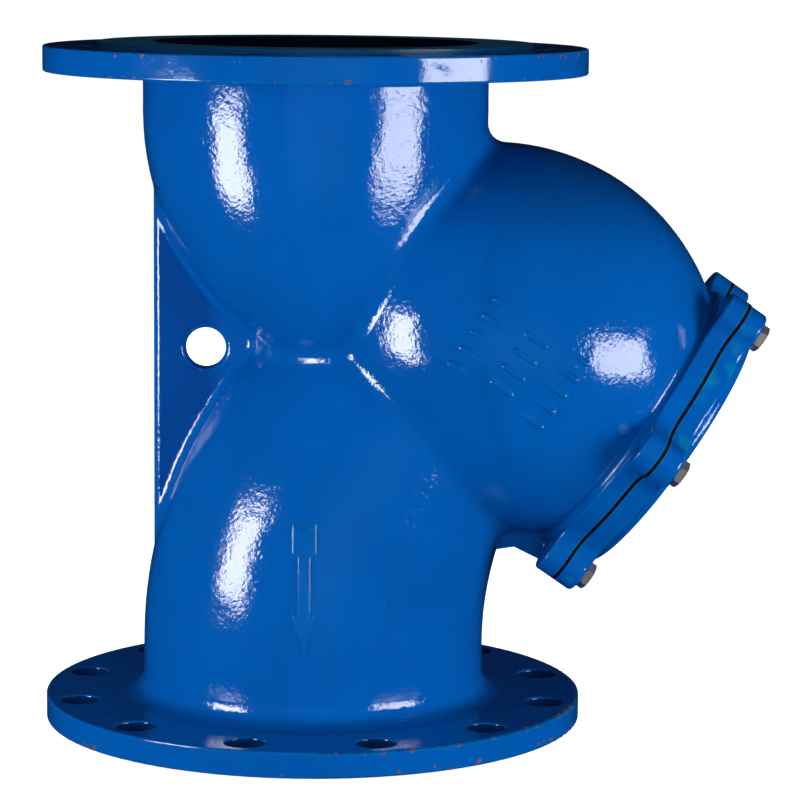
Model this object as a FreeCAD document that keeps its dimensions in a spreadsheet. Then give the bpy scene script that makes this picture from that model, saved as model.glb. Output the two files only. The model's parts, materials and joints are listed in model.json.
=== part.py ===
"""Y strainer, DN 250 PN 16, in ductile iron with a bolted cover and a lift-out screen basket.

Millimetres. The origin is the centre of the outlet's gasket face, +Z runs up the pipe axis
towards the inlet, and +X points to the side that the branch leaves from. Water flows down.
"""
import FreeCAD, Part
import math
import os
import Sketcher
from FreeCAD import Placement, Rotation, Vector

doc = FreeCAD.newDocument("y_strainer")
sheet = doc.addObject("Spreadsheet::Sheet", "Sheet")

# ---------------------------------------------------------------------------------------------
# Driving dimensions
# ---------------------------------------------------------------------------------------------
DIMENSIONS = {
    # pipe flanges, EN 1092-2 DN 250 PN 16
    "face_to_face": 506, "flange_radius": 200, "flange_rim": 19, "raised_height": 3,
    "raised_radius": 160, "flange_pcd": 355, "flange_holes": 12, "hole_radius": 14,
    "outlet_hole_radius": 14.2, "bore_radius": 118, "wall": 9, "mouth_radius": 118.5,
    "mouth_depth": 40, "rim_round": 1.6, "hole_round": 1.5,
    "groove_width": 1.2, "groove_depth": 0.6, "groove_first": 127, "groove_pitch": 7,
    # inlet leg: straight down to upper_start, then its left side bends in along an arc
    "upper_start": 455, "upper_bend": 206, "upper_depth": 183, "upper_draw": 0.001565,
    "upper_widen": 0.24, "upper_span": 160,
    # outlet leg: straight up to lower_start, then the same with a larger arc
    "lower_start": 60, "lower_bend": 337, "lower_depth": 250, "lower_flare": 0.002062,
    "lower_narrow": 0.343, "lower_span": 230,
    # branch: its axis, and the barrel-shaped bulb round it
    "branch_x": 246.2, "branch_z": 221.3, "branch_slope": 34.6,
    "bulb_arc": 171.8, "bulb_offset": 31.8, "bulb_centre": 117.5, "bulb_back": 238,
    # web with the lifting eye, and the small web under the bulb
    "web_edge": 119.3, "web_thick": 16, "web_low": 120, "web_high": 410, "web_round": 5,
    "eye_x": 80.8, "eye_z": 280, "eye_radius": 14.8, "under_thick": 11,
    # cast fillets
    "crease_round": 14, "inlet_round": 7, "inlet_sink": 0.15, "outlet_round": 15,
    "web_fillet": 8,
    # seat for the basket, inside
    "seat_distance": 228, "seat_thick": 9, "seat_radius": 78,
    # branch flange, gasket and cover
    "lug_pcd": 248, "lug_radius": 16, "lug_disc": 114, "lug_fillet": 24, "lug_count": 6,
    "lug_turn": 1.6, "joint_bore": 90, "joint_thick": 14, "gasket_thick": 2.5,
    "joint_round": 3, "cover_thick": 15, "cover_round": 3, "dome_radius": 108,
    "dome_height": 6.5, "dome_round": 5.5, "spigot_outer": 80,
    "spigot_inner": 72, "spigot_height": 9, "spigot_chamfer": 2, "boss_radius": 22,
    "boss_height": 3,
    # M12 cover bolts, 28 mm long, and their thin washers
    "bolt_radius": 6, "bolt_length": 28, "bolt_head": 5.8, "bolt_flats": 18,
    "bolt_chamfer": 1.2, "bolt_hole": 6.8, "thread_hole": 6.05, "washer_radius": 9.4,
    "washer_hole": 6.4, "washer_thick": 0.9,
    # drain plug
    "plug_radius": 13.2, "plug_hole": 13.25, "plug_length": 16, "plug_flange": 17,
    "plug_flange_thick": 3, "plug_flats": 22, "plug_head": 8, "plug_chamfer": 1.5,
    "plug_seal_thick": 1.6, "plug_seal_hole": 13.5, "plug_seal_outer": 16.5,
    # basket
    "screen_outer": 84, "screen_thick": 1.5, "liner_thick": 0.6, "ring_outer": 86.5,
    "ring_height": 14, "strip_width": 16, "strip_thick": 1.2, "basket_gap": 0.3,
    "seal_thick": 2.0,
    # raised marks
    "mark_height": 1.6, "mark_radius": 2.6, "mark_length": 15, "mark_pitch": 14,
    "mark_shift": 4, "row_first": 89, "row_pitch": 31.5, "arrow_x": 5.5, "arrow_top": 169,
    "arrow_length": 97, "arrow_width": 17.5, "arrow_shaft": 9, "arrow_tail": 22,
    "arrow_head": 30, "arrow_barb": 3, "arrow_notch": 8, "arrow_reach": 200,
    "arrow_round": 1.0,
}


class Size:
    """A number together with the sheet formula that it comes from."""

    def __init__(self, value, formula=None):
        self.value = float(value)
        self.formula = formula if formula else repr(float(value))

    def joined(self, other, sign, result):
        other = as_size(other)
        return Size(result(self.value, other.value), f"({self.formula} {sign} {other.formula})")

    def __add__(self, other):
        return self.joined(other, "+", lambda a, b: a + b)

    def __sub__(self, other):
        return self.joined(other, "-", lambda a, b: a - b)

    def __mul__(self, other):
        return self.joined(other, "*", lambda a, b: a * b)

    def __truediv__(self, other):
        return self.joined(other, "/", lambda a, b: a / b)

    def __neg__(self):
        return Size(0) - self

    __radd__ = __add__
    __rmul__ = __mul__

    def __rsub__(self, other):
        return as_size(other) - self


def as_size(number):
    return number if isinstance(number, Size) else Size(number)


def root(size):
    return Size(math.sqrt(size.value), f"sqrt({size.formula})")


class Dimensions:
    """Each dimension of the sheet as an attribute, D.wall and so on."""


D = Dimensions()
for row, (alias, number) in enumerate(DIMENSIONS.items(), start=1):
    sheet.set(f"A{row}", alias)
    sheet.set(f"B{row}", str(number))
    sheet.setAlias(f"B{row}", alias)
    setattr(D, alias, Size(number, f"Sheet.{alias}"))
doc.recompute()


# ---------------------------------------------------------------------------------------------
# Helpers
# ---------------------------------------------------------------------------------------------
def bind(thing, prop, size):
    """Set a property from a sheet formula."""
    thing.setExpression(prop, as_size(size).formula)


def put(thing, x=0, y=0, z=0, rotation=None):
    """Place an object at sheet-bound coordinates."""
    position = [as_size(value) for value in (x, y, z)]
    thing.Placement = Placement(Vector(*[p.value for p in position]), rotation or Rotation())
    for axis, p in zip("xyz", position):
        bind(thing, f"Placement.Base.{axis}", p)
    return thing


def on_branch(thing):
    """Place an object in the branch's own frame: local +Z runs out along the branch."""
    turn = Rotation(Vector(0, 1, 0), 90 + D.branch_slope.value)
    put(thing, D.branch_x, 0, D.branch_z, turn)
    bind(thing, "Placement.Rotation.Angle", 90 + D.branch_slope)
    return thing


def upright_cylinder(name, radius, height, low):
    """A cylinder round the pipe axis, standing on height low."""
    thing = doc.addObject("Part::Cylinder", name)
    bind(thing, "Radius", radius)
    bind(thing, "Height", height)
    return put(thing, 0, 0, low)


def cut(name, base, tool):
    thing = doc.addObject("Part::Cut", name)
    thing.Base = base
    thing.Tool = tool
    doc.recompute()
    return thing


def fuse(name, *shapes):
    thing = doc.addObject("Part::MultiFuse", name)
    thing.Shapes = list(shapes)
    thing.Refine = True
    doc.recompute()
    return thing


def common(name, *shapes):
    thing = doc.addObject("Part::MultiCommon", name)
    thing.Shapes = list(shapes)
    doc.recompute()
    return thing


def rounded(name, base, radius, wanted):
    """Round the edges of a shape for which wanted(edge) is true."""
    thing = doc.addObject("Part::Fillet", name)
    thing.Base = base
    chosen = [i for i, edge in enumerate(base.Shape.Edges, start=1) if wanted(edge)]
    if not chosen:
        raise RuntimeError(f"{name}: no edge to round")
    thing.Edges = [(i, radius.value, radius.value) for i in chosen]
    doc.recompute()
    return thing


def plane(body, role):
    """A body's own origin plane, by its role."""
    return next(f for f in body.Origin.OriginFeatures if f.Role == role)


def new_body(label):
    body = doc.addObject("PartDesign::Body", label)
    body.Label = label
    return body


def new_sketch(body, name, role="XY_Plane", offset=0):
    """A sketch on one of the body's origin planes, lifted by offset along its normal."""
    sketch = body.newObject("Sketcher::SketchObject", name)
    sketch.AttachmentSupport = [(plane(body, role), "")]
    sketch.MapMode = "FlatFace"
    height = as_size(offset)
    sketch.AttachmentOffset = Placement(Vector(0, 0, height.value), Rotation())
    bind(sketch, "AttachmentOffset.Base.z", height)
    return sketch


def constrain(sketch, kind, size, *where):
    """A driving constraint of a sketch, bound to a sheet formula."""
    size = as_size(size)
    number = sketch.addConstraint(Sketcher.Constraint(kind, *where, size.value))
    sketch.setExpression(f"Constraints[{number}]", size.formula)


def outline(sketch, points):
    """A closed outline of straight lines whose corners are bound to sheet formulas."""
    corners = [(as_size(x), as_size(y)) for x, y in points]
    count = len(corners)
    for i in range(count):
        (x0, y0), (x1, y1) = corners[i], corners[(i + 1) % count]
        line = Part.LineSegment(Vector(x0.value, y0.value, 0), Vector(x1.value, y1.value, 0))
        sketch.addGeometry(line, False)
    for i in range(count):
        sketch.addConstraint(Sketcher.Constraint("Coincident", i, 2, (i + 1) % count, 1))
    for i, (x, y) in enumerate(corners):
        constrain(sketch, "DistanceX", x, -1, 1, i, 1)
        constrain(sketch, "DistanceY", y, -1, 1, i, 1)


def circle(sketch, x, y, radius):
    x, y, radius = as_size(x), as_size(y), as_size(radius)
    number = sketch.addGeometry(
        Part.Circle(Vector(x.value, y.value, 0), Vector(0, 0, 1), radius.value), False)
    constrain(sketch, "Radius", radius, number)
    constrain(sketch, "DistanceX", x, -1, 1, number, 3)
    constrain(sketch, "DistanceY", y, -1, 1, number, 3)


def turned(label, points, cut_away=False, body=None):
    """A body turned round its own Z axis from (radius, height) corners."""
    body = body or new_body(label)
    sketch = new_sketch(body, f"{label}_profile", "XZ_Plane")
    outline(sketch, points)
    kind = "PartDesign::Groove" if cut_away else "PartDesign::Revolution"
    feature = body.newObject(kind, f"{label}_turned")
    feature.Profile = sketch
    feature.ReferenceAxis = (sketch, ["V_Axis"])
    feature.Angle = 360
    doc.recompute()
    return body


def ring(label, inner, outer, low, high):
    return turned(label, [(inner, low), (outer, low), (outer, high), (inner, high)])


def round_body(body, name, radius, wanted):
    """A PartDesign fillet on the body's tip, on the edges for which wanted(edge) is true."""
    base = body.Tip
    chosen = [f"Edge{i}" for i, edge in enumerate(base.Shape.Edges, start=1) if wanted(edge)]
    if not chosen:
        raise RuntimeError(f"{name}: no edge to round")
    feature = body.newObject("PartDesign::Fillet", name)
    feature.Base = (base, chosen)
    bind(feature, "Radius", radius)
    doc.recompute()


def round_the_axis(body, feature, count, name):
    """Repeat a feature evenly round the body's Z axis."""
    pattern = body.newObject("PartDesign::PolarPattern", name)
    pattern.Originals = [feature]
    pattern.Axis = (feature.Profile[0], ["N_Axis"])
    pattern.Angle = 360
    bind(pattern, "Occurrences", count)
    body.Tip = pattern
    doc.recompute()


def flat_at(*heights):
    """A test for an edge that lies flat at one of these heights in its own frame."""
    def test(edge):
        low, high = edge.BoundBox.ZMin, edge.BoundBox.ZMax
        return any(abs(low - z) < 0.05 and abs(high - z) < 0.05 for z in heights)
    return test


# ---------------------------------------------------------------------------------------------
# The casting's legs and bulb
# ---------------------------------------------------------------------------------------------
LEG_STEPS = 10    # sections along the curved stretch of a leg
STRAIGHT = 20     # distance between the sections of its straight stretch


def leg(name, start, toward, bend, depth, side, width, inset, major):
    """A leg as a loft of ellipses.

    It is straight and round outside start, which is on the flange's side. Inside it, at depth d,
    its left side follows an arc of radius bend, its right side moves by side(d), and its depth
    front to back is its width times width(d). inset is the wall for an inner surface.
    """
    radius = D.bore_radius + D.wall
    sections = []
    straight = [Size(-STRAIGHT * i) for i in (4, 3, 2, 1, 0)]
    curved = [depth * (i / LEG_STEPS) for i in range(1, LEG_STEPS + 1)]
    for i, d in enumerate(straight + curved):
        inside = i >= len(straight)
        left = bend - radius - root(bend * bend - d * d) if inside else -radius
        right = radius + side(d) if inside else radius
        half = (right - left) / 2
        stretch = width(d) if inside else Size(1)
        # a circle's two radii differ by a hair, so that every section has its seam in one place
        along = half - inset + (0.0002 if major == "x" else 0)
        across = half * stretch - inset + (0.0002 if major == "y" else 0)
        section = doc.addObject("Part::Ellipse", f"{name}_section_{i}")
        bind(section, "MajorRadius", along if major == "x" else across)
        bind(section, "MinorRadius", across if major == "x" else along)
        turn = Rotation(Vector(0, 0, 1), 0 if major == "x" else 90)
        put(section, (left + right) / 2, 0, start + toward * d, turn)
        sections.append(section)
    loft = doc.addObject("Part::Loft", name)
    loft.Sections = sections
    loft.Solid = True
    loft.Ruled = False
    doc.recompute()
    return loft


def upper_leg(name, inset=0, depth=D.upper_depth):
    return leg(name, D.upper_start, -1, D.upper_bend, depth, lambda d: -D.upper_draw * d * d,
               lambda d: 1 + D.upper_widen * d * d / (D.upper_span * D.upper_span), inset, "y")


def lower_leg(name, inset=0, depth=D.lower_depth):
    return leg(name, D.lower_start, 1, D.lower_bend, depth, lambda d: D.lower_flare * d * d,
               lambda d: 1 - D.lower_narrow * d * d / (D.lower_span * D.lower_span), inset, "x")


def bulb(name, inset, front, back):
    """The bulb as a body turned round the branch axis, from distance back to distance front
    inside the cover joint; its side is one arc whose centre lies beyond the axis."""
    arc = D.bulb_arc - inset

    def radius_at(distance):
        run = distance - D.bulb_centre
        return root(arc * arc - run * run) - D.bulb_offset

    front, back = as_size(front), as_size(back)
    body = new_body(name)
    sketch = new_sketch(body, f"{name}_profile", "XZ_Plane")
    centre = Vector(-D.bulb_offset.value, -D.bulb_centre.value, 0)
    near = Vector(radius_at(front).value, -front.value, 0)
    far = Vector(radius_at(back).value, -back.value, 0)
    side = Part.Circle(centre, Vector(0, 0, 1), as_size(arc).value)
    angles = [math.atan2(p.y - centre.y, p.x - centre.x) for p in (far, near)]
    near_axis, far_axis = Vector(0, near.y, 0), Vector(0, far.y, 0)
    sketch.addGeometry(Part.LineSegment(near_axis, near), False)
    sketch.addGeometry(Part.ArcOfCircle(side, *angles), False)
    sketch.addGeometry(Part.LineSegment(far, far_axis), False)
    sketch.addGeometry(Part.LineSegment(far_axis, near_axis), False)
    for joint in ((0, 2, 1, 2), (1, 1, 2, 1), (2, 2, 3, 1), (3, 2, 0, 1)):
        sketch.addConstraint(Sketcher.Constraint("Coincident", *joint))
    sketch.addConstraint(Sketcher.Constraint("Horizontal", 0))
    sketch.addConstraint(Sketcher.Constraint("Horizontal", 2))
    constrain(sketch, "Radius", arc, 1)
    constrain(sketch, "DistanceX", -D.bulb_offset, -1, 1, 1, 3)
    constrain(sketch, "DistanceY", -D.bulb_centre, -1, 1, 1, 3)
    constrain(sketch, "DistanceX", 0, -1, 1, 0, 1)
    constrain(sketch, "DistanceY", -front, -1, 1, 0, 1)
    constrain(sketch, "DistanceX", 0, -1, 1, 3, 1)
    constrain(sketch, "DistanceY", -back, -1, 1, 3, 1)
    feature = body.newObject("PartDesign::Revolution", f"{name}_turned")
    feature.Profile = sketch
    feature.ReferenceAxis = (sketch, ["V_Axis"])
    feature.Angle = 360
    on_branch(body)
    doc.recompute()
    return body


def barrel():
    """The three bulging walls fused, with the creases between them rounded."""
    walls = fuse("barrel_sharp", upper_leg("upper_outer"), lower_leg("lower_outer"),
                 bulb("bulb_outer", 0, D.joint_thick / 2, D.bulb_back))

    def crease(edge):
        middle = edge.BoundBox.Center
        return edge.Length > 30 and 100 < middle.z < 460 and middle.x < 140

    return rounded("barrel", walls, D.crease_round, crease)


# ---------------------------------------------------------------------------------------------
# Flanges, webs and marks of the casting
# ---------------------------------------------------------------------------------------------
GROOVES = 5


def pipe_flange(name, face, outward, hole_radius):
    """A pipe flange with its raised, grooved gasket face at height face."""
    body = new_body(name)

    def level(depth):
        return face - outward * as_size(depth)

    rim, top = D.raised_height, D.raised_height + D.flange_rim
    turned(name, [(0, level(0)), (D.raised_radius, level(0)), (D.raised_radius, level(rim)),
                  (D.flange_radius, level(rim)), (D.flange_radius, level(top)), (0, level(top))],
           body=body)
    round_body(body, f"{name}_rim", D.rim_round,
               lambda e: e.BoundBox.XMax > D.flange_radius.value - 0.1 and e.BoundBox.ZLength < 0.1)
    hole = new_sketch(body, f"{name}_hole", offset=level(-1) if outward > 0 else level(top + 1))
    half_step = math.radians(180 / D.flange_holes.value)
    circle(hole, D.flange_pcd / 2 * math.cos(half_step), D.flange_pcd / 2 * math.sin(half_step),
           hole_radius)
    pocket = body.newObject("PartDesign::Pocket", f"{name}_hole_cut")
    pocket.Profile = hole
    bind(pocket, "Length", top + 2)
    doc.recompute()
    round_the_axis(body, pocket, D.flange_holes, f"{name}_holes")
    back = level(top).value
    round_body(body, f"{name}_hole_rims", D.hole_round,
               lambda e: flat_at(back, level(rim).value)(e) and e.Length < 100)
    for i in range(GROOVES):
        inner = D.groove_first + D.groove_pitch * i
        turned(f"{name}_groove_{i}",
               [(inner, level(-1)), (inner + D.groove_width, level(-1)),
                (inner + D.groove_width, level(D.groove_depth)), (inner, level(D.groove_depth))],
               cut_away=True, body=body)
    return body


def inlet_cove():
    """The small cast fillet under the inlet flange, let a hair into both of its surfaces."""
    ring_radius = D.bore_radius + D.wall + D.inlet_round - D.inlet_sink
    level = D.face_to_face - D.raised_height - D.flange_rim - D.inlet_round + D.inlet_sink
    block = upright_cylinder("cove_block", ring_radius, D.inlet_round + D.raised_height, level)
    hollow_of_it = doc.addObject("Part::Torus", "cove_arc")
    bind(hollow_of_it, "Radius1", ring_radius)
    bind(hollow_of_it, "Radius2", D.inlet_round)
    put(hollow_of_it, 0, 0, level)
    return cut("inlet_cove", block, hollow_of_it)


def lug_angle(number=1):
    """The angle of a cover bolt round the branch, in degrees in the branch's own frame."""
    return 360 / D.lug_count.value * (number - 0.5) + D.lug_turn.value


def at_lug():
    """The centre of the first cover bolt in the branch's own frame, x and y."""
    angle = math.radians(lug_angle())
    return D.lug_pcd / 2 * math.cos(angle), D.lug_pcd / 2 * math.sin(angle)


def lug_disc(body, name, low, thickness, hole):
    """A disc with a rounded lug for each cover bolt, bolt holes and all, from height low."""
    disc = new_sketch(body, f"{name}_disc", offset=low)
    circle(disc, 0, 0, D.lug_disc)
    pad = body.newObject("PartDesign::Pad", f"{name}_disc_pad")
    pad.Profile = disc
    bind(pad, "Length", thickness)
    doc.recompute()
    x, y = at_lug()
    lug = new_sketch(body, f"{name}_lug", offset=low)
    circle(lug, x, y, D.lug_radius)
    pad = body.newObject("PartDesign::Pad", f"{name}_lug_pad")
    pad.Profile = lug
    bind(pad, "Length", thickness)
    doc.recompute()
    round_the_axis(body, pad, D.lug_count, f"{name}_lugs")
    round_body(body, f"{name}_scallops", D.lug_fillet,
               lambda e: abs(e.BoundBox.ZLength - as_size(thickness).value) < 0.01
               and e.BoundBox.XLength < 0.01)
    if hole is None:
        return
    sketch = new_sketch(body, f"{name}_hole", offset=as_size(low) + thickness + 1)
    circle(sketch, x, y, hole)
    pocket = body.newObject("PartDesign::Pocket", f"{name}_hole_cut")
    pocket.Profile = sketch
    bind(pocket, "Length", as_size(thickness) + 2)
    doc.recompute()
    round_the_axis(body, pocket, D.lug_count, f"{name}_holes")


def branch_flange():
    """The casting's half of the cover joint, lugs tapped M12."""
    body = new_body("branch_flange")
    low = -(D.gasket_thick / 2 + D.joint_thick)
    lug_disc(body, "branch_flange", low, D.joint_thick, D.thread_hole)
    wide = D.lug_disc.value - 1
    round_body(body, "branch_flange_back", D.rim_round,
               lambda e: flat_at(low.value)(e) and e.Length > 8
               and e.BoundBox.Center.Length + e.BoundBox.DiagonalLength > wide / 2
               and not is_hole(e))
    return on_branch(body)


def is_hole(edge):
    return edge.Length < 2 * math.pi * (D.bolt_hole.value + 0.5) and edge.isClosed()


def upright(name, corners, thickness):
    """A plate in the XZ plane from its corner list, half its thickness each side."""
    body = new_body(name)
    sketch = new_sketch(body, f"{name}_outline", "XZ_Plane")
    outline(sketch, corners)
    pad = body.newObject("PartDesign::Pad", f"{name}_pad")
    pad.Profile = sketch
    pad.Midplane = True
    bind(pad, "Length", thickness)
    doc.recompute()
    return body


def eye_web():
    """The web between the legs, with the lifting eye, its outer edges rounded."""
    plate = upright("eye_web", [(-D.web_edge, D.web_low), (10, D.web_low), (10, D.web_high),
                                (-D.web_edge, D.web_high)], D.web_thick)
    eye = new_sketch(plate, "eye_circle", "XZ_Plane", -D.web_thick)
    circle(eye, -D.eye_x, D.eye_z, D.eye_radius)
    pocket = plate.newObject("PartDesign::Pocket", "eye_cut")
    pocket.Profile = eye
    pocket.Reversed = True
    bind(pocket, "Length", D.web_thick * 2)
    doc.recompute()
    edge_x = -D.web_edge.value

    def outer(edge):
        box_ = edge.BoundBox
        upright_edge = abs(box_.XMax - edge_x) < 0.01 and box_.ZLength > 100
        return upright_edge or (edge.isClosed() and box_.XLength < 40)

    round_body(plate, "eye_web_round", D.web_round, outer)
    return plate


UNDER_WEB_CORNERS = [(118, 126), (150, 131), (170, 121), (176, 150), (118, 170)]


def under_web():
    """The small web below the bulb, from the outlet leg to the branch flange."""
    return upright("under_web", UNDER_WEB_CORNERS, D.under_thick)


def in_plane_y(y):
    """A test for an edge that lies in the plane at +y or -y."""
    def test(edge):
        low, high = edge.BoundBox.YMin, edge.BoundBox.YMax
        return abs(high - low) < 0.01 and abs(abs(low) - y) < 0.01
    return test


def solid_walls():
    """The casting before it is hollowed: legs, bulb, webs and flanges with their cast fillets."""
    walls = fuse("webbed_sharp", barrel(), eye_web(), under_web())
    on_web = in_plane_y(D.web_thick.value / 2)
    round_edge = D.web_edge.value - D.web_round.value

    def web_root(edge):
        box_ = edge.BoundBox
        upright_edge = box_.XLength < 0.01
        return on_web(edge) and edge.Length > 15 and not edge.isClosed() and not upright_edge \
            and box_.XMin > -round_edge - 0.1

    walls = rounded("webbed", walls, D.web_fillet, web_root)
    inlet = pipe_flange("inlet_flange", D.face_to_face, 1, D.hole_radius)
    outlet = pipe_flange("outlet_flange", Size(0), -1, D.outlet_hole_radius)
    between = upright_cylinder("between_faces", D.face_to_face,
                               D.face_to_face - 2 * D.raised_height, D.raised_height)
    trimmed = common("trimmed", walls, between)
    whole = fuse("flanged_sharp", trimmed, inlet, outlet, branch_flange(), inlet_cove())
    depth = D.flange_rim.value + D.raised_height.value
    neck = D.bore_radius.value + D.wall.value

    def neck_root(edge):
        spread = max(abs(edge.BoundBox.XMin), abs(edge.BoundBox.XMax))
        return flat_at(depth)(edge) and edge.Length > 100 and spread < neck + 1

    whole = rounded("outlet_rooted", whole, D.outlet_round, neck_root)
    out = Vector(math.cos(math.radians(D.branch_slope.value)), 0,
                 -math.sin(math.radians(D.branch_slope.value)))
    start = Vector(D.branch_x.value, 0, D.branch_z.value)
    back = -(D.gasket_thick.value / 2 + D.joint_thick.value)

    def joint_root(edge):
        points = edge.discretize(5)
        level = all(abs((p - start).dot(out) - back) < 0.05 for p in points)
        near = all(((p - start) - out * back).Length < D.lug_disc.value - 3 for p in points)
        return level and near and edge.Length > 20

    return rounded("flanged", whole, D.joint_round, joint_root)


def branch_disc(name, radius, low, high):
    """A solid disc round the branch axis, between two heights of the branch's own frame."""
    return on_branch(turned(name, [(0, low), (radius, low), (radius, high), (0, high)]))


SPACE = 400     # reaches past the whole casting
OVERLAP = 6     # how far one cutting shape runs into the next


def hollow():
    """The water space: the inlet side above the basket's seat, and the bulb with the outlet."""
    seat, far = -D.seat_distance, -(D.seat_distance + D.seat_thick)
    inlet_bowl = common("inlet_bowl", upper_leg("upper_inner", D.wall, D.upper_depth - D.wall),
                        branch_disc("inlet_side_space", SPACE, far - SPACE, far))
    # the wall between the two spaces is the inlet leg's own skin and the seat
    skin = common("inlet_skin", upper_leg("upper_skin"),
                  branch_disc("skin_side_space", SPACE, seat - SPACE, seat))
    lower = fuse("lower_space", lower_leg("lower_inner", D.wall),
                 bulb("bulb_inner", D.wall, D.gasket_thick / 2, D.seat_distance))
    outlet_side = cut("outlet_side", lower, skin)
    joint_hole = branch_disc("joint_hole", D.joint_bore, -D.joint_thick * 2, OVERLAP)
    seat_hole = branch_disc("seat_hole", D.seat_radius, far - OVERLAP, seat + OVERLAP)
    # both mouths are bored true where they meet the pipe
    outlet_mouth = upright_cylinder("outlet_mouth", D.mouth_radius, D.mouth_depth + OVERLAP,
                                    -OVERLAP)
    inlet_mouth = upright_cylinder("inlet_mouth", D.mouth_radius, D.mouth_depth + OVERLAP,
                                   D.face_to_face - D.mouth_depth)
    return [inlet_bowl, outlet_side, joint_hole, seat_hole, outlet_mouth, inlet_mouth]


# ---------------------------------------------------------------------------------------------
# Raised marks: a flow arrow on the outlet leg, and plain bars where a casting carries its data
# ---------------------------------------------------------------------------------------------
def flow_arrow():
    """A raised arrow that points down the outlet leg, with a notched tail."""
    half, shaft = D.arrow_width / 2, D.arrow_shaft / 2
    top, tip = D.arrow_top, D.arrow_top - D.arrow_length
    tail, head = D.arrow_top - D.arrow_tail, tip + D.arrow_head
    right = [(half, top), (half, tail), (shaft, tail - D.arrow_barb), (shaft, head),
             (half, head + D.arrow_barb)]
    left = [(-x, z) for x, z in reversed(right)]
    notch = (Size(0), top - D.arrow_notch)
    corners = [(x - D.arrow_x, z) for x, z in right + [(Size(0), tip)] + left + [notch]]
    body = new_body("arrow_prism")
    sketch = new_sketch(body, "arrow_outline", "XZ_Plane")
    outline(sketch, corners)
    pad = body.newObject("PartDesign::Pad", "arrow_pad")
    pad.Profile = sketch
    bind(pad, "Length", D.arrow_reach)
    doc.recompute()
    raised = common("arrow_raised", body, lower_leg("arrow_skin", -D.mark_height))

    def front(edge):
        return edge.BoundBox.YLength < 12 and edge.BoundBox.YMax < -60

    return rounded("arrow_soft", raised, D.arrow_round, front)


def data_bars():
    """Three rows of plain raised bars on the bulb's side, each bar along the branch."""
    bars = []
    for line, count in enumerate((5, 4, 5)):
        distance = D.row_first + D.row_pitch * line
        run = distance - D.bulb_centre
        surface = root(D.bulb_arc * D.bulb_arc - run * run) - D.bulb_offset
        middle = surface + D.mark_height - D.mark_radius
        for place in range(count):
            along_arc = D.mark_pitch * (place - (count - 1) / 2) + D.mark_shift
            angle = along_arc.value / surface.value
            x, y = middle * math.sin(angle), -middle * math.cos(angle)
            low, high = -distance - D.mark_length / 2, -distance + D.mark_length / 2
            bars.append(capsule(f"bar_{line}_{place}", x, y, low, high, D.mark_radius))
    return fuse("bars", *bars)


def capsule(name, x, y, low, high, radius):
    """A round-ended rod along the branch, given in the branch's own frame."""
    body = new_body(name)
    for place, z in (("low", low), ("high", high)):
        ball = body.newObject("PartDesign::AdditiveSphere", f"{name}_{place}")
        bind(ball, "Radius", radius)
        put(ball, x, y, z)
    rod = body.newObject("PartDesign::AdditiveCylinder", f"{name}_rod")
    bind(rod, "Radius", radius)
    bind(rod, "Height", high - low)
    put(rod, x, y, low)
    return on_branch(body)


def casting():
    """The finished body casting."""
    body = solid_walls()
    body = fuse("marked", body, flow_arrow(), data_bars())
    body = cut("body_casting", body, fuse("water_space", *hollow()))
    body.Label = "body_casting"
    return body


# ---------------------------------------------------------------------------------------------
# Cover joint
# ---------------------------------------------------------------------------------------------
def gasket():
    """The flat gasket, cut to the lugs' outline."""
    body = new_body("cover_gasket")
    low = -D.gasket_thick / 2
    lug_disc(body, "gasket", low, D.gasket_thick, D.bolt_hole)
    turned("gasket_bore", [(0, low - 1), (D.joint_bore + 1, low - 1), (D.joint_bore + 1, -low + 1),
                           (0, -low + 1)], cut_away=True, body=body)
    return on_branch(body)


def cover():
    """The blind cover: lugged rim, low dome, drain boss outside and basket spigot inside."""
    body = new_body("branch_cover")
    low = D.gasket_thick / 2
    top = low + D.cover_thick
    lug_disc(body, "cover", low, D.cover_thick, None)
    round_body(body, "cover_edge", D.cover_round, lambda e: flat_at(top.value)(e))
    crown = top + D.dome_height
    turned("cover_dome", [(0, top - 5), (D.dome_radius, top - 5), (D.dome_radius, crown),
                          (D.boss_radius + D.boss_height, crown),
                          (D.boss_radius, crown + D.boss_height), (0, crown + D.boss_height)],
           body=body)
    round_body(body, "cover_dome_round", D.dome_round,
               lambda e: flat_at(crown.value)(e) and e.BoundBox.XMax > D.dome_radius.value - 1)
    turned("cover_spigot", [(D.spigot_inner, low + 2), (D.spigot_inner, low - D.spigot_height),
                            (D.spigot_outer - D.spigot_chamfer, low - D.spigot_height),
                            (D.spigot_outer, low - D.spigot_height + D.spigot_chamfer),
                            (D.spigot_outer, low + 2)], body=body)
    hole = new_sketch(body, "cover_hole", offset=top + 1)
    circle(hole, *at_lug(), D.bolt_hole)
    pocket = body.newObject("PartDesign::Pocket", "cover_hole_cut")
    pocket.Profile = hole
    bind(pocket, "Length", D.cover_thick + 2)
    doc.recompute()
    round_the_axis(body, pocket, D.lug_count, "cover_holes")
    turned("cover_drain", [(0, low - 20), (D.plug_hole, low - 20),
                           (D.plug_hole, crown + D.boss_height + 1),
                           (0, crown + D.boss_height + 1)], cut_away=True, body=body)
    return on_branch(body)


def at_bolt(body, number, height):
    """Place a body on the branch, at cover bolt number's axis."""
    angle = lug_angle(number)
    frame = Placement(Vector(D.branch_x.value, 0, D.branch_z.value),
                      Rotation(Vector(0, 1, 0), 90 + D.branch_slope.value))
    radius = D.lug_pcd.value / 2
    local = Placement(Vector(radius * math.cos(math.radians(angle)),
                             radius * math.sin(math.radians(angle)), height.value),
                      Rotation(Vector(0, 0, 1), angle))
    body.Placement = frame.multiply(local)
    doc.recompute()
    return body


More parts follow.
